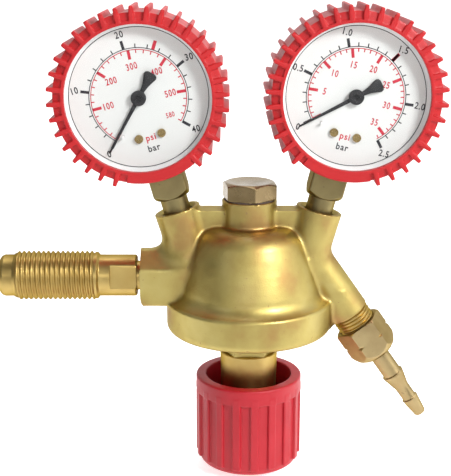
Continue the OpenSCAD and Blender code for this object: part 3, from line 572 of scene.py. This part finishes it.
def socket_field(p):
    """A gauge's stem: screwed shank, turned neck, chamfered square and inner foot."""
    low, high, half = 5.4, STEM - 24, 7.0
    z, r = p[..., 2], np.hypot(p[..., 0], p[..., 1])
    square = box_field(p - np.array([0, 0, (low + high) / 2]), (half, half, (high - low) / 2), 0.5)
    square = smooth_max(square, (low + 1.4 - z) * 0.75 + (r - 8.2) * 0.66, 0.3)
    square = smooth_max(square, r - 9.6, 0.3)
    neck = turned_field(p, [(0, -11), (6, -11), (6.5, -10.4), (6.5, -1.6), (5.5, -1.4),
                            (5.5, low + 2), (0, low + 2)])
    inner = box_field(p - np.array([0, -2.25, high + 2]), (6, 3.75, 4), 0.3)
    shape = np.minimum(smooth_min(square, neck, 0.6), inner)
    return np.maximum(shape, -cylinder_field(p, 1.2, -14, STEM - 23))


def inlet_nipple():
    """Nipple: bored shank, two wrench flats, a thread a little shallower than M20, bare spigot."""
    end, face = BODY_X / MM + 7, BODY_X / MM
    low = face - 32
    flat_low, flat_high, half, turn = 46.0, 56.6, 7.0, math.radians(9)

    def flats(v):
        at = (v[:, 2] > flat_low - 0.1) & (v[:, 2] < flat_high)
        along = v[at, 0] * math.cos(turn) + v[at, 1] * math.sin(turn)
        across = np.clip(v[at, 1] * math.cos(turn) - v[at, 0] * math.sin(turn), -half, half)
        v[at, 0] = along * math.cos(turn) - across * math.sin(turn)
        v[at, 1] = along * math.sin(turn) + across * math.cos(turn)
        return v

    profile = [
        (2.5, 32.8), (5.95, 32.8), (5.95, flat_low, 0), (8.0, flat_low, 0), (8.5, flat_low + 0.5, 0),
        (8.5, flat_high - 0.01, 0), (8.5, flat_high + 0.01, 0), (8.5, low - 1.8), (9.6, low - 1.0, 0.1),
        (9.6, low, 0), (9.15, low + 0.02, 0), (9.15, face - 0.02, 0), (9.4, face, 0),
        (8.9, face + 1.2, 0.1), (8.55, face + 1.2, 0.1), (8.55, end - 1.8, 0.6), (8.05, end - 0.7, 0.6),
        (7.15, end), (3.55, end), (3.55, end - 18), (2.5, end - 18)]
    body = lathe("nipple_turned", profile, INLET, radius=0.3, segments=128, shape=flats)
    crests = thread("nipple_thread", INLET, 10.0, 9.13, 2.0, low - 0.6, face + 0.4, 1, fade=0.9, segments=128)
    return join("nipple", body, crests)


def outlet_spigot():
    """The screwed end of the outlet boss, with its left-hand thread and coned seat."""
    profile = [(2.5, -3), (7.1, -3), (7.1, 1.2, 0.1), (7.12, 11.2, 0.1), (6.6, 12.0), (5.5, 12.0), (2.5, 9.0)]
    spigot = lathe("spigot_turned", profile, OUTLET, radius=0.15)
    crests = thread("spigot_thread", OUTLET, 7.93, 7.0, 1.5, 0.4, 11.7, -1, fade=0.8)
    return join("outlet_spigot", spigot, crests)


def hose_tail():
    """The tail: a coned head behind the nut, a plain neck and two ridges that face the nut."""
    tip = 55.2
    profile = [
        (1.4, 9.7), (3.0, 9.7), (5.3, 12.0), (6.3, 12.1), (6.4, 12.5), (6.4, 15.0), (4.0, 15.0),
        (4.0, 33.0, 0.15), (4.6, 33.3, 0.1), (4.6, 33.8, 0.3), (3.15, 39.6, 1.0), (2.95, 41.0, 0.8),
        (2.95, 46.4, 0.15), (3.5, 46.7, 0.1), (3.4, 47.4, 0.3), (2.5, tip - 0.6, 0.3), (2.1, tip), (1.4, tip)]
    return lathe("barbed_tail", profile, OUTLET, radius=0.2, segments=64, angle=28)


# ---------------------------------------------------------------- dials


def flat_mesh(outlines, level, height=0.03):
    """Thin prisms standing on the level, one for each outline of (x, y) points."""
    points, faces = [], []
    for ring in outlines:
        n, start = len(ring), len(points)
        points += [(x, y, level) for x, y in ring] + [(x, y, level + height) for x, y in ring]
        faces.append(tuple(start + n + i for i in range(n)))
        faces.append(tuple(start + i for i in reversed(range(n))))
        faces += [
            (start + i, start + (i + 1) % n, start + n + (i + 1) % n, start + n + i) for i in range(n)]
    return points, faces


def dial_angle(side, share):
    """Direction of a scale share, 0 to 1, over the dial's sweep."""
    return math.radians(ZERO_AT - DIAL_TURN[side] - SWEEP * share)


def tick(side, share, r0, r1, width):
    """A radial line at a scale share, from r0 to r1."""
    a = dial_angle(side, share)
    u, v = np.array([math.cos(a), math.sin(a)]), np.array([-math.sin(a), math.cos(a)]) * width / 2
    return [tuple(u * r0 - v), tuple(u * r1 - v), tuple(u * r1 + v), tuple(u * r0 + v)]


def band(side, r, width, end=1.0, steps=90):
    """Pieces of a circular line from the dial's zero to a scale share."""
    turn = [dial_angle(side, end * i / steps) for i in range(steps + 1)]
    rim = [[(q * math.cos(a), q * math.sin(a)) for a in turn] for q in (r - width / 2, r + width / 2)]
    return [[rim[0][i], rim[1][i], rim[1][i + 1], rim[0][i + 1]] for i in range(steps)]


def numeral(text, size, squeeze):
    """A short numeral or unit, centred on the origin, as a flat mesh from the built-in font."""
    curve = bpy.data.curves.new("numeral", "FONT")
    curve.body = text
    curve.size = size * 1.38
    curve.align_x, curve.align_y = "CENTER", "CENTER"
    curve.offset = 0.028 * size
    curve.space_character = 1.16
    curve.resolution_u = 3
    obj = bpy.data.objects.new("numeral", curve)
    mesh = bpy.data.meshes.new_from_object(obj)
    co = np.array([v.co[:] for v in mesh.vertices])
    faces = [tuple(f.vertices) for f in mesh.polygons]
    bpy.data.objects.remove(obj)
    bpy.data.curves.remove(curve)
    bpy.data.meshes.remove(mesh)
    co[:, 0] *= squeeze
    middle_y = (co[:, 1].max() + co[:, 1].min()) / 2
    return [(a, b - middle_y) for a, b, _ in co], faces


# Outer scale in bar, with a red mark at its limit, and inner scale in psi
SCALES = {
    "left": {"full": 40, "step": 2, "major": 10, "names": ("0", "10", "20", "30", "40"), "limit": 25,
             "psi_full": 580, "psi_step": 20, "psi_major": 100, "psi_names": (100, 200, 300, 400, 500, 580)},
    "right": {"full": 2.5, "step": 0.1, "major": 0.5, "names": ("0", "0.5", "1.0", "1.5", "2.0", "2.5"),
              "limit": 1.5, "psi_full": 36.3, "psi_step": 1, "psi_major": 5,
              "psi_names": (5, 10, 15, 20, 25, 30, 35)},
}
NUMERAL = 2.6  # height of the numerals
LINE_W, TICK_W = 0.32, 0.42


def add_numeral(sink, text, size, r, angle, level, squeeze=0.82):
    """Adds an upright numeral at radius r and an angle."""
    co, faces = numeral(text, size, squeeze)
    x, y = r * math.cos(angle), r * math.sin(angle)
    start = len(sink[0])
    sink[0].extend((a + x, b + y, level) for a, b in co)
    sink[1].extend(tuple(start + i for i in f) for f in faces)


def print_dial(side):
    """The dial's printing: a black bar scale, a red psi scale, numerals and units."""
    scale = SCALES[side]
    level, height = DIAL_FACE + 0.01, 0.03
    black, red = [], []
    steps = round(scale["full"] / scale["step"])
    per_major = round(scale["major"] / scale["step"])
    black += band(side, 19.0, LINE_W)
    for i in range(steps + 1):
        share = i / steps
        if i % per_major == 0:
            black.append(tick(side, share, 18.9, 22.3, 1.1))
        else:
            black.append(tick(side, share, 19.0, 20.5, TICK_W))
    red += band(side, 18.3, LINE_W)
    count = int(scale["psi_full"] / scale["psi_step"] + 0.001)
    per_red = round(scale["psi_major"] / scale["psi_step"])
    for i in range(count + 1):
        share = i * scale["psi_step"] / scale["psi_full"]
        if i % per_red == 0:
            red.append(tick(side, share, 14.8, 18.4, 1.15))
        else:
            red.append(tick(side, share, 17.0, 18.4, TICK_W))
    red.append(tick(side, scale["limit"] / scale["full"], 19.1, 22.6, 1.3))
    black += band(side, 26.8, 0.28, end=360 / SWEEP, steps=120)
    made = {}
    for colour, outlines in (("black", black), ("red", red)):
        made[colour] = flat_mesh(outlines, level, height)
    top = level + height
    for i, text in enumerate(scale["names"]):
        share = i / (len(scale["names"]) - 1)
        add_numeral(made["black"], text, NUMERAL, 24.8, dial_angle(side, share), top)
    for value in scale["psi_names"]:
        a = dial_angle(side, value / scale["psi_full"])
        size, r = (2.0, 13.6) if value == scale["psi_full"] else (NUMERAL, 12.2)
        add_numeral(made["red"], str(value), size, r, a, top, squeeze=0.74)
    for colour, unit, r in (("red", "psi", 16.2), ("black", "bar", 20.0)):
        add_numeral(made[colour], unit, NUMERAL, r, math.radians(-90), top, squeeze=0.9)
    pieces = []
    for colour, (points, faces) in made.items():
        mesh = bpy.data.meshes.new(f"{side}_print_{colour}")
        mesh.from_pydata(points, [], faces)
        pieces.append(add_object(f"{side}_print_{colour}", mesh, GAUGE[side]))
    return pieces


def pointer(side):
    """A blade with a broad tail and a stepped hub that is bored for its staff."""
    low, thick = DIAL_FACE + 0.9, 0.5
    turn = Matrix.Rotation(math.radians(ZERO_AT - DIAL_TURN[side]), 4, "Z")
    place = GAUGE[side] @ turn
    tail = [(-10.9, -1.4), (-10.4, -2.3), (-9.5, -2.65), (-7.5, -1.9), (-5.5, -1.25), (-3.5, -0.9),
            (0, -0.85)]
    blade = tail + [(24.2, -0.34), (24.4, 0), (24.2, 0.34)] + [(x, -y) for x, y in reversed(tail)]
    points, faces = flat_mesh([blade], low, thick)
    arm = mesh_from("blade", points, faces, place, angle=20)
    bevel(arm, 0.00012)
    hub = lathe("hub", [(0.92, low - 0.7), (1.8, low - 0.7), (1.8, low), (2.95, low), (2.95, low + 1.2, 0.3),
                        (1.25, low + 1.2, 0.08), (1.15, low + 0.9, 0.08), (0.92, low + 0.9, 0.05)], place,
                radius=0.12, segments=48)
    return join(f"{side}_needle", arm, hub)


def bevel(obj, width, segments=2, angle=40):
    """Applies a small bevel to sharp edges."""
    mod = obj.modifiers.new("bevel", "BEVEL")
    mod.width = width
    mod.segments = segments
    mod.limit_method = "ANGLE"
    mod.angle_limit = math.radians(angle)
    dg = bpy.context.evaluated_depsgraph_get()
    mesh = bpy.data.meshes.new_from_object(obj.evaluated_get(dg))
    obj.modifiers.clear()
    obj.data = mesh
    return smooth(obj, 30)


# ---------------------------------------------------------------- materials


def nodes_of(name):
    mat = bpy.data.materials.new(name)
    mat.use_nodes = True
    tree = mat.node_tree
    return mat, tree, tree.nodes["Principled BSDF"]


def noise(tree, scale, detail):
    """A noise texture in the object's own coordinates."""
    coord = tree.nodes.new("ShaderNodeTexCoord")
    tex = tree.nodes.new("ShaderNodeTexNoise")
    tex.inputs["Scale"].default_value = scale
    tex.inputs["Detail"].default_value = detail
    tree.links.new(coord.outputs["Object"], tex.inputs["Vector"])
    return tex.outputs["Fac"]


def ramp(tree, value, stops):
    """A colour for each value, from (position, colour) stops."""
    node = tree.nodes.new("ShaderNodeValToRGB")
    tree.links.new(value, node.inputs["Fac"])
    while len(node.color_ramp.elements) < len(stops):
        node.color_ramp.elements.new(0.5)
    for element, (at, colour) in zip(node.color_ramp.elements, stops):
        element.position = at
        element.color = (*colour, 1)
    return node.outputs["Color"]


def spread(tree, value, low, high, start=0.3, end=0.7):
    """Maps start to end onto low to high, clamped."""
    node = tree.nodes.new("ShaderNodeMapRange")
    tree.links.new(value, node.inputs["Value"])
    for socket, number in (("From Min", start), ("From Max", end), ("To Min", low), ("To Max", high)):
        node.inputs[socket].default_value = number
    return node.outputs["Result"]


def blend(tree, factor, colour, other):
    """Mixes a fixed colour into a colour, by a factor."""
    mix = tree.nodes.new("ShaderNodeMix")
    mix.data_type = "RGBA"
    tree.links.new(factor, mix.inputs["Factor"])
    tree.links.new(colour, mix.inputs["A"])
    mix.inputs["B"].default_value = (*other, 1)
    return mix.outputs["Result"]


def surface(name, colours, rough, scale=90, metal=0.0, grain=2500, bump=0.0, coat=0.0, specks=None,
            crease=None, sockets=()):
    """A material with mottled colour, uneven roughness and a fine bump.

    specks is (amount, scale, colour), crease is (reach in metres, colour) for painted shade that
    darkens the colour where ambient occlusion finds a crease, and sockets are further (name, value) pairs."""
    mat, tree, shader = nodes_of(name)
    n = len(colours) - 1
    mottle = noise(tree, scale, 4.0)
    colour = ramp(tree, mottle, [(0.34 + 0.32 * i / max(n, 1), c) for i, c in enumerate(colours)])
    if specks:
        amount, speck_scale, speck_colour = specks
        spots = spread(tree, noise(tree, speck_scale, 2.0), 0.0, 1.0, 0.70 - amount, 0.76 - amount)
        colour = blend(tree, spots, colour, speck_colour)
    # Painted shade: the base colour is blended towards the crease colour wherever ambient occlusion finds a
    # crease.
    if crease:
        reach, shade_colour = crease
        occlusion = tree.nodes.new("ShaderNodeAmbientOcclusion")
        occlusion.samples = 8
        occlusion.only_local = True
        occlusion.inputs["Distance"].default_value = reach
        shade_amount = spread(tree, occlusion.outputs["AO"], 0.85, 0.0, 0.45, 0.88)
        colour = blend(tree, shade_amount, colour, shade_colour)
    tree.links.new(colour, shader.inputs["Base Color"])
    tree.links.new(spread(tree, noise(tree, scale * 2.3, 3.0), *rough), shader.inputs["Roughness"])
    shader.inputs["Metallic"].default_value = metal
    shader.inputs["Coat Weight"].default_value = coat
    for socket, value in sockets:
        shader.inputs[socket].default_value = value
    if bump:
        node = tree.nodes.new("ShaderNodeBump")
        node.inputs["Strength"].default_value = bump
        node.inputs["Distance"].default_value = 0.0001
        tree.links.new(noise(tree, grain, 2.0), node.inputs["Height"])
        tree.links.new(node.outputs["Normal"], shader.inputs["Normal"])
    return mat


EDGE_TINT = (("Specular Tint", (0.42, 0.36, 0.24, 1.0)),)
PLASTIC = (("Subsurface Weight", 0.08), ("Subsurface Scale", 0.001), ("Specular IOR Level", 0.4))


def make_materials():
    made = {}

    def add(name, *args, **kwargs):
        made[name] = surface(name, *args, **kwargs)

    add("forged_brass", ((0.39, 0.25, 0.085), (0.43, 0.33, 0.105), (0.48, 0.385, 0.125), (0.51, 0.42, 0.15)),
        (0.42, 0.54), scale=55, metal=1.0, grain=1900, bump=0.55, coat=0.25,
        # Painted shade: brown darkening in the forging's creases, driven by ambient occlusion.
        specks=(0.0, 700, (0.36, 0.24, 0.10)), crease=(0.006, (0.30, 0.17, 0.06)),
        sockets=EDGE_TINT + (("Coat Roughness", 0.22),))
    add("turned_brass", ((0.41, 0.28, 0.088), (0.51, 0.37, 0.13)), (0.30, 0.42), scale=80, metal=1.0,
        grain=2600, bump=0.12, sockets=EDGE_TINT)
    add("cap_bronze", ((0.22, 0.155, 0.07), (0.30, 0.22, 0.11)), (0.22, 0.36), scale=110, metal=1.0,
        grain=2600, bump=0.15, coat=0.25, sockets=(("Coat Roughness", 0.2),))
    add("dull_brass", ((0.34, 0.25, 0.12), (0.43, 0.33, 0.165)), (0.28, 0.42), scale=100, metal=1.0,
        grain=2400, bump=0.25, specks=(0.01, 500, (0.25, 0.17, 0.09)), sockets=EDGE_TINT)
    add("stem_brass", ((0.21, 0.165, 0.078), (0.27, 0.22, 0.10)), (0.34, 0.46), scale=100, metal=1.0,
        grain=2400, bump=0.25, specks=(0.01, 500, (0.20, 0.15, 0.08)), sockets=EDGE_TINT)
    add("movement_brass", ((0.34, 0.24, 0.10), (0.42, 0.31, 0.14)), (0.2, 0.3), metal=1.0, bump=0.1)
    add("sintered_bronze", ((0.45, 0.27, 0.12), (0.60, 0.40, 0.20)), (0.5, 0.7), scale=1500, metal=1.0,
        bump=0.8)
    add("bright_steel", ((0.56, 0.57, 0.59), (0.68, 0.69, 0.71)), (0.15, 0.28), metal=1.0, bump=0.1)
    add("spring_steel", ((0.30, 0.31, 0.33), (0.45, 0.46, 0.48)), (0.25, 0.38), scale=300, metal=1.0,
        bump=0.1)
    add("case_steel", ((0.54, 0.55, 0.57), (0.58, 0.59, 0.61)), (0.32, 0.38), metal=1.0, bump=0.15)
    add("cover_red", ((0.44, 0.007, 0.010), (0.49, 0.010, 0.013)), (0.40, 0.50), scale=40, grain=4200, bump=0.2,
        sockets=PLASTIC)
    add("knob_red", ((0.36, 0.006, 0.014), (0.42, 0.010, 0.020)), (0.38, 0.48), scale=45, grain=3800, bump=0.25,
        sockets=PLASTIC)
    add("dial_white", ((0.73, 0.75, 0.73), (0.77, 0.79, 0.77)), (0.5, 0.6), scale=25, grain=3000, bump=0.03)
    add("ring_grey", ((0.74, 0.75, 0.75), (0.82, 0.82, 0.81)), (0.3, 0.42), scale=60, bump=0.05)
    add("pointer_black", ((0.012, 0.012, 0.014), (0.022, 0.022, 0.024)), (0.35, 0.5), scale=200, bump=0.1)
    add("print_black", ((0.020, 0.020, 0.026), (0.034, 0.033, 0.040)), (0.5, 0.6), scale=400)
    add("print_red", ((0.54, 0.018, 0.042), (0.60, 0.026, 0.052)), (0.5, 0.6), scale=400)
    add("black_rubber", ((0.015, 0.015, 0.016), (0.03, 0.03, 0.032)), (0.55, 0.75), scale=300, bump=0.4)
    add("fibre_dark", ((0.05, 0.035, 0.025), (0.09, 0.06, 0.045)), (0.6, 0.8), scale=500, bump=0.5)
    add("window_clear", ((0.02, 0.022, 0.023), (0.03, 0.033, 0.034)), (0.03, 0.06), scale=30,
        sockets=(("Alpha", 0.03), ("IOR", 1.49)))
    return made


# ---------------------------------------------------------------- the object

MATERIALS = make_materials()


def dress(obj, material, body="root"):
    """Gives a new piece its material and the body it rides on."""
    obj.data.materials.clear()
    obj.data.materials.append(MATERIALS[material])
    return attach(obj, body)


def build_body():
    forging = contour("forging", body_field, (-46, -35.5, -23.6), (54, 35.5, 33.5), 0.5, BODY)
    dress(forging, "forged_brass")
    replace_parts(forging, "body")
    dress(outlet_spigot(), "turned_brass")
    cap = contour("plug", valve_cap_field, (-12.5, -12.5, 19.5), (12.5, 12.5, 40.5), 0.3, BODY)
    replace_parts(dress(cap, "cap_bronze"), "valve_cap")
    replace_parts(dress(inlet_nipple(), "turned_brass"), "inlet_nipple")


def build_outlet():
    nut = contour("left_hand_nut", union_nut_field, (-12, -12, 5.4), (12, 12, 22.4), 0.3, OUTLET)
    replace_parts(dress(nut, "dull_brass", body="union_nut"), "union_nut")
    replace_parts(dress(hose_tail(), "dull_brass", body="hose_tail"), "hose_tail")


def build_knob():
    grip = contour("grip", knob_field(), (-23.2, -23.2, -81.6), (23.2, 23.2, -41.8), 0.45, BODY)
    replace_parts(dress(grip, "knob_red", body="knob"), "knob")


def build_gauge(side):
    shell = contour(f"{side}_shell", cover_field(COVER_TURN[side]), (-36, -34, -10.5), (36, 36, 20.9), 0.45,
                    GAUGE[side])
    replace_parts(dress(shell, "cover_red"), f"{side}_cover")
    stem = contour(f"{side}_stem", socket_field, (-10.6, -10.6, -11.8), (10.6, 10.6, STEM - 17), 0.35,
                   BOSS[side])
    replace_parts(dress(stem, "stem_brass"), f"{side}_socket")
    black, red = print_dial(side)
    dress(black, "print_black")
    dress(red, "print_red")
    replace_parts(dress(pointer(side), "pointer_black", body=f"{side}_pointer"), f"{side}_pointer")


def dress_frame():
    """Gives every CAD node the procedural material of its slot, and smooth shading.

    The vertices stay where the CAD put them."""
    for obj in frame["nodes"].values():
        for s in obj.material_slots:
            s.material = MATERIALS[s.material.name.split(".")[0]]
        obj.data.polygons.foreach_set("use_smooth", [True] * len(obj.data.polygons))


# ---------------------------------------------------------------- stage


WHITE = (1, 1, 1, 1)
LIGHTS_AIM = (0.085, 0, 0.01)
FLOOR_GAP = 0.0015


def area_light(name, at, size, power):
    """A white rectangular light aimed at the object."""
    data = bpy.data.lights.new(name, "AREA")
    data.shape = "RECTANGLE"
    data.size, data.size_y = size
    data.energy = power
    obj = bpy.data.objects.new(name, data)
    obj.location = at
    obj.rotation_euler = (Vector(LIGHTS_AIM) - Vector(at)).to_track_quat("-Z", "Y").to_euler()
    bpy.context.scene.collection.objects.link(obj)


def gradient(tree, socket, axis, start, end, low, high):
    """A value that goes from low to high along one axis, between start and end."""
    coord = tree.nodes.new("ShaderNodeTexCoord")
    split = tree.nodes.new("ShaderNodeSeparateXYZ")
    tree.links.new(coord.outputs[socket], split.inputs["Vector"])
    return spread(tree, split.outputs[axis], low, high, start, end)


def build_world(scene):
    """White surroundings, darker in front of the object and to its left."""
    world = bpy.data.worlds.new("studio")
    scene.world = world
    world.use_nodes = True
    tree = world.node_tree
    sky = tree.nodes["Background"]
    sky.inputs["Color"].default_value = WHITE
    sides = tree.nodes.new("ShaderNodeMath")
    sides.operation = "MULTIPLY"
    tree.links.new(gradient(tree, "Generated", "Y", -0.35, 0.5, 0.22, 1.15), sides.inputs[0])
    tree.links.new(gradient(tree, "Generated", "X", -0.9, -0.1, 0.4, 1.0), sides.inputs[1])
    tree.links.new(sides.outputs[0], sky.inputs["Strength"])


def build_floor(scene):
    """A pale floor under the knob that glows as painted light, and is painted darker in front of the object to
    dim the light and reflections it throws onto the metal.
    """
    low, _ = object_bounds()
    mesh = bpy.data.meshes.new("floor")
    half, z = 7.0, low.z - FLOOR_GAP
    corners = [(-half, -half, z), (half, -half, z), (half, half, z), (-half, half, z)]
    mesh.from_pydata(corners, [], [(0, 1, 2, 3)])
    floor = bpy.data.objects.new("floor", mesh)
    scene.collection.objects.link(floor)
    mat, tree, shader = nodes_of("floor_pale")
    dark_to, pale_from = -0.20, -0.03
    # Painted shade: the floor's colour darkens in front of the object, so the metal's front faces reflect less
    # light.
    tree.links.new(gradient(tree, "Object", "Y", dark_to, pale_from, 0.55, 0.9), shader.inputs["Base Color"])
    # Painted light: the floor glows, most strongly behind the object, though it is no lamp.
    painted_glow = gradient(tree, "Object", "Y", dark_to, pale_from, 0.05, 0.66)
    tree.links.new(painted_glow, shader.inputs["Emission Strength"])
    shader.inputs["Emission Color"].default_value = WHITE
    shader.inputs["Roughness"].default_value = 0.9
    floor.data.materials.append(mat)
    floor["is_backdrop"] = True


def build_stage():
    scene = bpy.context.scene
    scene.view_settings.view_transform = "Standard"
    build_world(scene)
    build_floor(scene)
    area_light("key", (0.78, -0.72, 0.66), (0.34, 0.34), 14)
    area_light("right", (1.1, -0.2, 0.35), (0.7, 0.9), 2.5)
    area_light("left", (-0.7, -0.9, 0.6), (0.5, 0.5), 1.0)
    area_light("front", (0.05, -1.3, 0.30), (0.9, 0.30), 2.6)
    area_light("top", (0.1, 0.25, 1.1), (0.8, 0.5), 3.5)


def build_camera():
    """The view from in front of the object and 15 degrees above it."""
    data = bpy.data.cameras.new("camera")
    data.lens, data.sensor_width = 83.19, 36.0
    camera = bpy.data.objects.new("camera", data)
    camera.location = (0.08529, -0.43405, 0.13059)
    camera.rotation_euler = (math.radians(75.18), 0, 0)
    data.clip_start, data.clip_end = 0.01, 20
    bpy.context.scene.collection.objects.link(camera)
    bpy.context.scene.camera = camera


build_camera()
build_body()
build_outlet()
build_knob()
for gauge in SIDES:
    build_gauge(gauge)
dress_frame()
build_stage()
